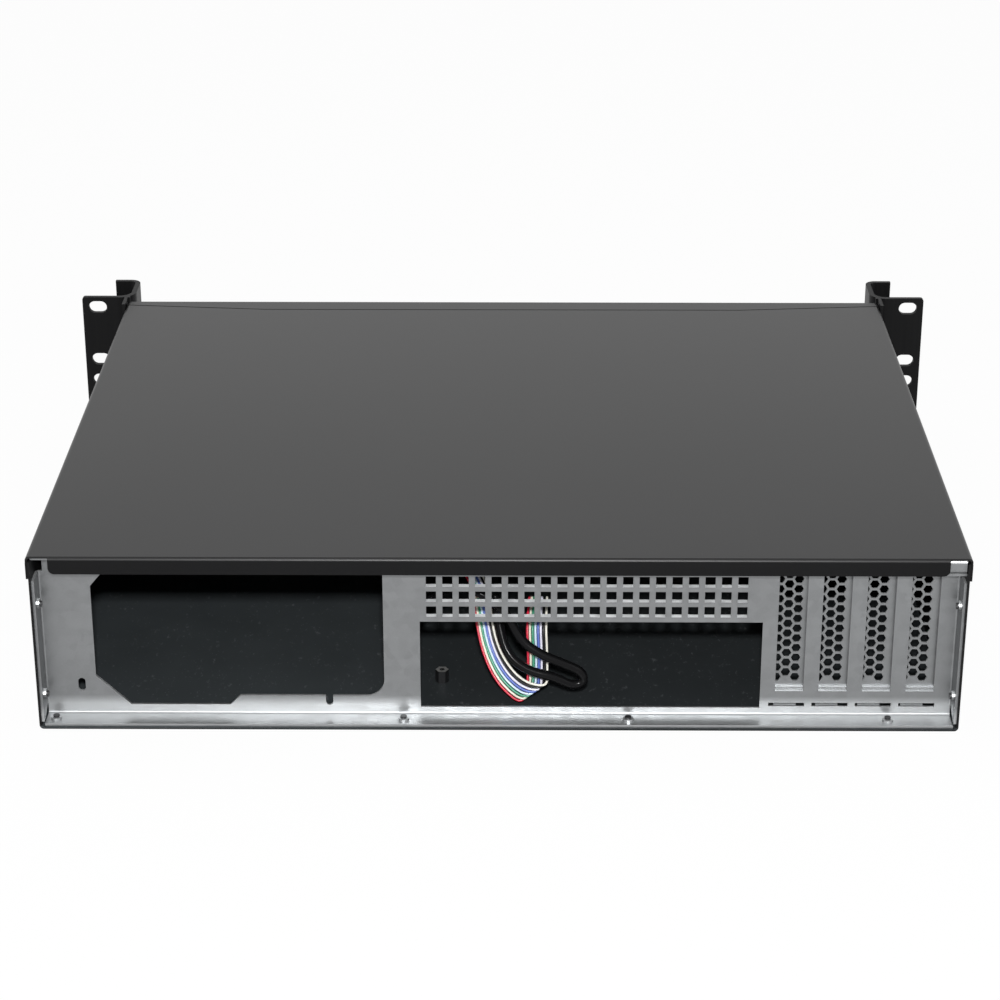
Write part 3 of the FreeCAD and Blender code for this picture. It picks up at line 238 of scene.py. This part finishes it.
@dataclass(frozen=True)
class PowderCoat(Finish):
    """Black powder coat on steel with a fine orange peel: the flat top is its glossiest face.

    The gloss of the top begins at the height top, over the height rim, and falls towards the rear.
    """

    name: str = "black_powder_coat"
    colour: Colour = (0.0055, 0.0055, 0.0058)
    roughness: float = 0.45
    peel: float = 0.00003
    top: float = 0.0864
    rim: float = 0.0003
    side_gloss: float = 0.05
    top_gloss: float = 0.50
    gloss_fall: float = 0.35

    def build(self) -> bpy.types.Material:
        """Builds the coat."""
        s = Shader.named(self.name)
        broad = s.noise(9.0, 3.0)
        fine = s.noise(PAINT_GRAIN, 3.0, 0.6)
        tint = s.mix(broad, self.colour, tone(self.colour, 1.5))
        rough = self.roughness + 0.07 * (broad - 0.5) + 0.05 * (fine - 0.5)
        upper = ((s.axis("Z") - self.top) * (1.0 / self.rim)).clamped()
        cloudy = self.top_gloss + 0.06 * (broad - 0.5)
        gloss = self.side_gloss + upper * (cloudy - self.gloss_fall * s.axis("Y"))
        return s.surface(Base_Color=tint, Roughness=rough, Specular_IOR_Level=0.06,
                         Coat_Weight=gloss, Coat_Roughness=0.36,
                         Normal=s.bump(fine, self.peel, 0.5))


@dataclass(frozen=True)
class TrayCoat(Finish):
    """The tray's black coat, dusty grey with pale specks on the floor inside.

    The dust lies between the heights under and over, and is lighter beyond bay_edge, in the
    power supply's bay.
    """

    name: str = "black_tray_coat"
    colour: Colour = (0.0055, 0.0055, 0.0058)
    dusty: Colour = (0.040, 0.046, 0.049)
    speck: Colour = (0.19, 0.20, 0.21)
    bay_edge: float = 0.035
    under: float = 0.0005
    over: float = 0.0016
    roughness: float = 0.5

    def build(self) -> bpy.types.Material:
        """Builds the coat."""
        s = Shader.named(self.name)
        broad = s.noise(30.0, 3.0)
        fine = s.noise(PAINT_GRAIN, 3.0, 0.6)
        height = s.axis("Z")
        inside = (height > self.under) * (height < self.over)
        bay = ((s.axis("X") - self.bay_edge) * 30.0).clamped()
        board_side = s.mix(broad, tone(self.dusty, 0.55), tone(self.dusty, 0.85))
        supply_side = s.mix(broad, tone(self.dusty, 0.9), tone(self.dusty, 1.3))
        floor_tone = s.mix(bay, board_side, supply_side)
        smudge = ((s.noise(420.0, 3.0, 0.62, (1.0, 0.45, 1.0)) - 0.62) * 7.0).clamped()
        dots = (s.cells(420.0) < 0.12) * (s.noise(75.0, 2.0) > 0.5)
        floor = s.mix(smudge * 0.35 + dots * 0.3, floor_tone, self.speck)
        plain = s.mix(fine, self.colour, tone(self.colour, 1.4))
        tint = s.mix(inside, plain, floor)
        return s.surface(Base_Color=tint, Roughness=self.roughness + 0.08 * (broad - 0.5),
                         Specular_IOR_Level=0.12, Normal=s.bump(fine, 0.00003, 0.5))


@dataclass(frozen=True)
class ZincPlate(Finish):
    """Galvanised sheet: a soft grey metal, with painted light on upward ledges and along the
    bottom bend.

    The band of painted light fills the height bend_foot and fades out at bend_top.
    bend_painted_light is its share of the painted light colour, and ledge_painted_light is what a
    ledge within it adds.
    """

    name: str = "zinc_plate"
    colour: Colour = (0.225, 0.231, 0.236)
    # the pale colour of the painted light
    painted_light: Colour = (0.88, 0.90, 0.91)
    roughness: float = 0.44
    bend_top: float = 0.0115
    bend_foot: float = 0.0070
    bend_painted_light: float = 0.30
    ledge_painted_light: float = 0.10

    def build(self) -> bpy.types.Material:
        """Builds the plating."""
        s = Shader.named(self.name)
        spangle = s.cells(260.0, output="Color")
        value = s.node("ShaderNodeSeparateColor", None, {0: spangle}, "Red")
        rolled = s.noise(220.0, 2.0, 0.5, (0.05, 1.0, 1.0))
        grain = s.noise(1800.0, 2.0)
        level = 0.5 + 0.16 * (value - 0.5) + 0.22 * (rolled - 0.5) + 0.18 * (grain - 0.5)
        plain = s.mix(level.clamped(), tone(self.colour, 0.72), tone(self.colour, 1.25))
        # painted light: the pale colour is mixed in on upward ledges and in a band along the
        # bottom bend
        fade = 1.0 / (self.bend_top - self.bend_foot)
        painted_light_band = ((self.bend_top - s.axis("Z")) * fade).clamped()
        lit_ledge_mask = ((s.facing("Z") - 0.2) * 4.0).clamped()
        band_painted_light = self.bend_painted_light + self.ledge_painted_light * lit_ledge_mask
        shine = (lit_ledge_mask * (1.0 - painted_light_band) + painted_light_band * band_painted_light).clamped()
        tint = s.mix(shine, plain, self.painted_light)
        rough = self.roughness + 0.10 * (value - 0.5) + 0.08 * (rolled - 0.5)
        return s.surface(Base_Color=tint, Roughness=rough, Metallic=0.85,
                         Normal=s.bump(grain, 0.00001, 0.35))


@dataclass(frozen=True)
class Anodised(Finish):
    """Black anodised extrusion with faint drawing lines along its length."""

    name: str = "black_anodising"
    colour: Colour = (0.006, 0.006, 0.0063)
    roughness: float = 0.40

    def build(self) -> bpy.types.Material:
        """Builds the anodising."""
        s = Shader.named(self.name)
        drawn = s.noise(900.0, 2.0, 0.5, (1.0, 1.0, 0.02))
        blast = s.noise(2600.0, 2.0)
        tint = s.mix(drawn, self.colour, tone(self.colour, 1.6))
        return s.surface(Base_Color=tint, Roughness=self.roughness + 0.1 * (drawn - 0.5),
                         Specular_IOR_Level=0.08,
                         Normal=s.bump(drawn + 0.5 * blast, 0.000012, 0.4))


@dataclass(frozen=True)
class Plated(Finish):
    """Plated or coated small metal parts."""

    name: str
    colour: Colour
    roughness: float = 0.3
    metallic: float = 1.0

    def build(self) -> bpy.types.Material:
        """Builds the plating."""
        s = Shader.named(self.name)
        grain = s.noise(PLATING_GRAIN, 3.0)
        tint = s.mix(grain, tone(self.colour, 0.8), tone(self.colour, 1.15))
        return s.surface(Base_Color=tint, Roughness=self.roughness + 0.12 * (grain - 0.5),
                         Metallic=self.metallic, Normal=s.bump(grain, 0.000008, 0.3))


@dataclass(frozen=True)
class ClinchedPost(Finish):
    """Dark phosphated standoff; its upward end face carries a painted highlight, a pale colour."""

    name: str = "clinched_post"
    colour: Colour = (0.035, 0.036, 0.038)
    # the pale colour of the painted highlight on the end face
    top_highlight: Colour = (0.72, 0.72, 0.70)

    def build(self) -> bpy.types.Material:
        """Builds the post's finish."""
        s = Shader.named(self.name)
        grain = s.noise(PLATING_GRAIN, 3.0)
        # painted highlight: faces turned up take the pale colour
        end = s.facing("Z") > 0.7
        dark = s.mix(grain, self.colour, tone(self.colour, 1.6))
        tint = s.mix(end, dark, self.top_highlight)
        return s.surface(Base_Color=tint, Roughness=0.34 + 0.1 * (grain - 0.5),
                         Metallic=0.8, Normal=s.bump(grain, 0.000008, 0.3))


@dataclass(frozen=True)
class Moulded(Finish):
    """Moulded plastic or rubber with a spark-eroded grain."""

    name: str
    colour: Colour
    roughness: float = 0.45
    grain: float = 0.00002
    shine: float = 0.5

    def build(self) -> bpy.types.Material:
        """Builds the plastic."""
        s = Shader.named(self.name)
        broad = s.noise(35.0, 2.0)
        fine = s.noise(PLASTIC_GRAIN, 3.0, 0.6)
        tint = s.mix(broad, tone(self.colour, 0.9), tone(self.colour, 1.1))
        return s.surface(Base_Color=tint, Roughness=self.roughness + 0.08 * (fine - 0.5),
                         Specular_IOR_Level=self.shine, Normal=s.bump(fine, self.grain, 0.4))


@dataclass(frozen=True)
class ClearRod(Finish):
    """Clear light pipe, seen as a pale glossy rod."""

    name: str
    colour: Colour

    def build(self) -> bpy.types.Material:
        """Builds the clear plastic."""
        s = Shader.named(self.name)
        cloud = s.noise(700.0, 2.0)
        tint = s.mix(cloud, tone(self.colour, 0.9), self.colour)
        return s.surface(Base_Color=tint, Roughness=0.1 + 0.05 * cloud, Coat_Weight=0.6)


@dataclass(frozen=True)
class SolderMask(Finish):
    """Green solder mask with raised tracks."""

    name: str = "solder_mask"
    ground: Colour = (0.008, 0.10, 0.035)
    track: Colour = (0.02, 0.19, 0.07)

    def build(self) -> bpy.types.Material:
        """Builds the mask."""
        s = Shader.named(self.name)
        settings = {"wave_type": "BANDS", "bands_direction": "DIAGONAL"}
        values = {"Vector": s.place(), "Scale": 90.0, "Distortion": 6.0, "Detail": 0.0}
        copper = s.node("ShaderNodeTexWave", settings, values, "Fac") > 0.72
        tint = s.mix(copper, self.ground, self.track)
        return s.surface(Base_Color=tint, Roughness=0.28 + 0.06 * copper,
                         Normal=s.bump(copper, 0.00004, 0.5))


class Black(Enum):
    """The black finishes of the case."""

    COVER = PowderCoat()
    TRAY = TrayCoat()
    EAR = Anodised()
    SCREW = Plated("blackened_screw", (0.05, 0.05, 0.052), 0.35, 0.6)
    PLASTIC = Moulded("black_plastic", (0.022, 0.022, 0.023), 0.4)
    JACKET = Moulded("black_jacket", (0.005, 0.005, 0.0055), 0.2, 0.000005, 0.09)


class Bright(Enum):
    """The bare and bright finishes."""

    PANEL = ZincPlate()
    SCREW = Plated("zinc_screw", (0.62, 0.62, 0.61), 0.28)
    POST = ClinchedPost()
    NICKEL = Plated("nickel_shell", (0.66, 0.65, 0.62), 0.2)
    BOARD = SolderMask()
    PIPE = ClearRod("clear_pipe", (0.8, 0.84, 0.88))
    INSULATOR = Moulded("white_insulator", (0.78, 0.77, 0.74), 0.35)


class WireColour(Enum):
    """The ribbon's wires, from one edge to the other."""

    RED = Moulded("wire_red", (0.60, 0.02, 0.05), 0.32, 0.000004)
    CREAM = Moulded("wire_cream", (0.80, 0.76, 0.64), 0.32, 0.000004)
    GREEN = Moulded("wire_green", (0.06, 0.30, 0.18), 0.32, 0.000004)
    SKY = Moulded("wire_sky", (0.60, 0.74, 0.84), 0.32, 0.000004)
    BLUE = Moulded("wire_blue", (0.10, 0.16, 0.50), 0.32, 0.000004)
    LILAC = Moulded("wire_lilac", (0.74, 0.73, 0.84), 0.32, 0.000004)
    BLACK = Moulded("wire_black", (0.012, 0.012, 0.013), 0.32, 0.000004, 0.2)
    PALE = Moulded("wire_pale", (0.80, 0.78, 0.70), 0.32, 0.000004)


FINISHED_NODES: dict[Enum, tuple[str, ...]] = {
    Black.TRAY: ("chassis_base",),
    Black.COVER: ("top_cover", "front_panel"),
    Black.EAR: ("left_ear_handle", "right_ear_handle"),
    Black.SCREW: ("ear_screws", "cover_screws", "rear_panel_screws", "bracket_screws",
                  "fan_screws"),
    Black.PLASTIC: ("fan_frame_1", "fan_frame_2", "fan_rotor_1", "fan_rotor_2", "power_button",
                    "reset_button", "power_switch", "reset_switch", "ribbon_plug", "usb_lead_plug",
                    "ribbon_cable", "usb_lead"),
    Bright.PANEL: ("rear_panel", "slot_cover_1", "slot_cover_2", "slot_cover_3", "slot_cover_4",
                   "slot_clamp_bar", "drive_bracket"),
    Bright.SCREW: ("clamp_screws", "board_screws", "board_spacers"),
    Bright.POST: ("motherboard_standoffs",),
    Bright.NICKEL: ("usb_shells",),
    Bright.INSULATOR: ("usb_tongues",),
    Bright.PIPE: ("power_light", "drive_light"),
    Bright.BOARD: ("control_board",),
}


# ---------------------------------------------------------------- workshop
def wear(piece: bpy.types.Object, material: bpy.types.Material) -> None:
    """Gives a piece one material all over."""
    piece.data.materials.clear()
    piece.data.materials.append(material)


def dress_nodes() -> None:
    """Gives every node of the frame its finish."""
    finishes = {node: finish.value for finish, nodes in FINISHED_NODES.items() for node in nodes}
    for name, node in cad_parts.items():
        wear(node, finishes[name].material())
        LOG.info("dressed %s", name)


# ---------------------------------------------------------------- leads
LEVEL: Point = (1.0, 0.0, 0.0)

# each row: a point of the ribbon's middle, and the way in which its wires lie beside each other
RIBBON_ROUTE: list[tuple[Point, Point]] = [
    ((0.124, -0.1389, 0.050), LEVEL),
    ((0.124, -0.118, 0.050), LEVEL),
    ((0.112, -0.085, 0.040), LEVEL),
    ((0.091, -0.045, 0.0365), LEVEL),
    ((0.067, -0.008, 0.034), LEVEL),
    ((0.0465, 0.034, 0.030), LEVEL),
    ((0.045, 0.076, 0.034), LEVEL),
    ((0.041, 0.108, 0.048), LEVEL),
    ((0.022, 0.126, 0.063), LEVEL),
    ((0.009, 0.142, 0.054), (0.92, 0.0, 0.0)),
    ((0.0075, 0.151, 0.039), (0.86, 0.0, -0.1)),
    ((0.0045, 0.1575, 0.026), (0.84, 0.0, -0.4)),
    ((-0.0015, 0.164, 0.0158), (0.80, 0.0, -0.80)),
    ((-0.009, 0.168, 0.0095), (0.75, 0.0, -0.95)),
    ((-0.0155, 0.1695, 0.0078), (1.25, 0.0, -1.0)),
    ((-0.0178, 0.168, 0.0098), (1.22, 0.0, -0.9)),
    ((-0.0183, 0.1635, 0.016), (1.07, 0.0, -0.2)),
    ((-0.0182, 0.161, 0.027), (1.07, 0.0, 0.0)),
    ((-0.0175, 0.158, 0.039), (1.07, 0.0, 0.0)),
    ((-0.0185, 0.147, 0.048), LEVEL),
]

LEAD_ROUTE: list[Point] = [
    (0.110, -0.1389, 0.038),
    (0.110, -0.118, 0.038),
    (0.084, -0.095, 0.0385),
    (0.059, -0.078, 0.024),
    (0.046, -0.044, 0.005),
    (0.045, 0.002, 0.0036),
    (0.046, 0.050, 0.0037),
    (0.0445, 0.092, 0.0045),
    (0.044, 0.126, 0.016),
    (0.038, 0.144, 0.044),
    (0.018, 0.160, 0.062),
    (-0.003, 0.164, 0.050),
    (-0.0095, 0.168, 0.036),
    (-0.019, 0.1705, 0.0295),
    (-0.030, 0.171, 0.0250),
    (-0.0385, 0.170, 0.0205),
    (-0.0405, 0.169, 0.0145),
    (-0.0345, 0.170, 0.0125),
    (-0.026, 0.171, 0.0180),
    (-0.014, 0.1705, 0.0205),
    (-0.0045, 0.168, 0.027),
    (-0.0005, 0.162, 0.037),
    (0.002, 0.153, 0.052),
]

SPLINE_ORDER = 3
STEPS_ALONG = 8
STEPS_ROUND = 2


def beside(route: Sequence[tuple[Point, Point]], aside: float) -> list[Point]:
    """A route moved sideways by a distance along each point's own direction."""
    return [tuple(a + aside * b for a, b in zip(spot, way)) for spot, way in route]


def spline_tube(name: str, route: Sequence[Point], diameter: float,
                finish: Finish) -> bpy.types.Object:
    """Makes a smooth round cord along a route.

    Args:
        name: The piece's name.
        route: Control points, in metres.
        diameter: The cord's diameter.
        finish: Its finish.

    Returns:
        The curve object.
    """
    data = bpy.data.curves.new(name, "CURVE")
    data.dimensions = "3D"
    data.bevel_depth = diameter / 2
    data.bevel_resolution = STEPS_ROUND
    data.resolution_u = STEPS_ALONG
    data.use_fill_caps = True
    line = data.splines.new("NURBS")
    line.points.add(len(route) - 1)
    for point, spot in zip(line.points, route):
        point.co = (*spot, 1.0)
    line.order_u = SPLINE_ORDER
    line.use_endpoint_u = True
    piece = bpy.data.objects.new(name, data)
    bpy.context.scene.collection.objects.link(piece)
    wear(piece, finish.material())
    return piece


@dataclass
class FrontLeads:
    """The flat ribbon of coloured wires and the sockets' black lead.

    The wires lie side by side at the pitch. wire and lead are diameters.
    """

    pitch: float = 0.0012
    wire: float = 0.00118
    lead: float = 0.0046

    def build(self) -> None:
        """Builds the leads in place of their plain solids."""
        colours = list(WireColour)
        for k, colour in enumerate(colours):
            route = beside(RIBBON_ROUTE, ((len(colours) - 1) / 2 - k) * self.pitch)
            wire = spline_tube(f"ribbon_wire_{k + 1}", route, self.wire, colour.value)
            self.settle(wire, "ribbon_cable", "ribbon")
        lead = spline_tube("socket_lead", LEAD_ROUTE, self.lead, Black.JACKET.value)
        self.settle(lead, "usb_lead", "black_rubber")
        LOG.info("made %d ribbon wires and the socket lead", len(colours))

    @staticmethod
    def settle(piece: bpy.types.Object, node: str, slot: str) -> None:
        """Puts a lead on the case, in place of its node."""
        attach(piece, "case")
        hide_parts(node)


# ---------------------------------------------------------------- studio
WHITE: Colour = (1.0, 1.0, 1.0)


@dataclass(frozen=True)
class Lamp:
    """A square area lamp: its size in metres, its power in watts and the spot it points at."""

    name: str
    place: Point
    aim: Point
    size: float
    power: float

    def build(self) -> None:
        """Hangs the lamp in the scene."""
        data = bpy.data.lights.new(self.name, "AREA")
        data.size = self.size
        data.energy = self.power
        lamp = bpy.data.objects.new(self.name, data)
        bpy.context.scene.collection.objects.link(lamp)
        lamp.location = self.place
        way = Vector(self.aim) - Vector(self.place)
        lamp.rotation_euler = way.to_track_quat("-Z", "Y").to_euler()


# a small lamp just above the camera and two broad, weak ones
LAMPS: tuple[Lamp, ...] = (
    Lamp("front_lamp", (-0.007, 1.276, 0.693), (0.0, 0.1, 0.05), 0.055, 16.0),
    Lamp("roof_lamp", (0.3, -0.3, 1.8), (0.0, 0.0, 0.05), 1.6, 8.0),
    Lamp("side_lamp", (-1.6, 0.9, 0.9), (0.0, 0.1, 0.05), 1.0, 3.0),
)


@dataclass
class Studio:
    """White studio: floor, world, lamps and the camera.

    floor_drop keeps the floor clear of the case's underside, floor_glow is the share of the
    floor that shows plain white, and world_light is how strongly the world lights the case.
    """

    floor_half: float = 6.0
    floor_drop: float = 0.0004
    floor_glow: float = 0.96
    world_light: float = 0.25
    lens: float = 95.245
    sensor: float = 36.0
    far: float = 50.0
    eye: Point = (-0.00717, 1.27635, 0.59286)
    pan: float = 0.006
    tilt: float = 0.413

    def build(self) -> None:
        """Builds the whole studio."""
        self.floor()
        self.world()
        for lamp in LAMPS:
            lamp.build()
        self.camera()

    def floor(self) -> None:
        """A wide pale floor that keeps a soft part of the shadow."""
        bpy.ops.object.select_all(action="DESELECT")
        bpy.ops.mesh.primitive_plane_add(size=2 * self.floor_half,
                                         location=(0.0, 0.0, -self.floor_drop))
        plane = bpy.context.object
        plane.name = "studio_floor"
        bpy.ops.object.transform_apply(location=True)
        s = Shader.named("floor_white")
        grey = s.mix(s.noise(40.0, 2.0), tone(WHITE, 0.86), tone(WHITE, 0.9))
        paint = s.node("ShaderNodeBsdfDiffuse", None, {"Color": grey})
        glow = s.node("ShaderNodeEmission", None, {"Color": WHITE, "Strength": 1.0})
        share = self.seen(s) * self.floor_glow
        s.end(s.node("ShaderNodeMixShader", None, {0: share, 1: paint, 2: glow}))
        wear(plane, s.owner)

    @staticmethod
    def seen(s: Shader) -> Wire:
        """1 for rays from the camera or off a glossy or clear surface, else 0."""
        camera, glossy, clear = (s.node("ShaderNodeLightPath", output=f"Is {ray} Ray")
                                 for ray in ("Camera", "Glossy", "Transmission"))
        return (camera + glossy + clear).clamped()

    def world(self) -> None:
        """An even world: white where it shows, plain level where it lights."""
        world = bpy.data.worlds.new("studio_world")
        bpy.context.scene.world = world
        s = Shader(world)
        lit, shown = (s.node("ShaderNodeBackground", None, {"Color": WHITE, "Strength": strength})
                      for strength in (self.world_light, 1.0))
        s.end(s.node("ShaderNodeMixShader", None, {0: self.seen(s), 1: lit, 2: shown}))

    def camera(self) -> None:
        """A long lens behind the case, a little above it."""
        data = bpy.data.cameras.new("studio_camera")
        data.lens = self.lens
        data.sensor_width = self.sensor
        data.clip_end = self.far
        camera = bpy.data.objects.new("studio_camera", data)
        bpy.context.scene.collection.objects.link(camera)
        camera.location = self.eye
        level = math.cos(self.tilt)
        way = Vector((math.sin(self.pan) * level, -math.cos(self.pan) * level,
                      -math.sin(self.tilt)))
        camera.rotation_euler = way.to_track_quat("-Z", "Y").to_euler()
        bpy.context.scene.camera = camera


def main() -> None:
    """Builds the scene in order."""
    logging.basicConfig(level=logging.INFO, format="%(name)s: %(message)s")
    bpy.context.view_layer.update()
    bpy.context.scene.view_settings.view_transform = "Standard"
    Studio().build()
    FrontLeads().build()
    dress_nodes()


if __name__ == "__main__":
    main()
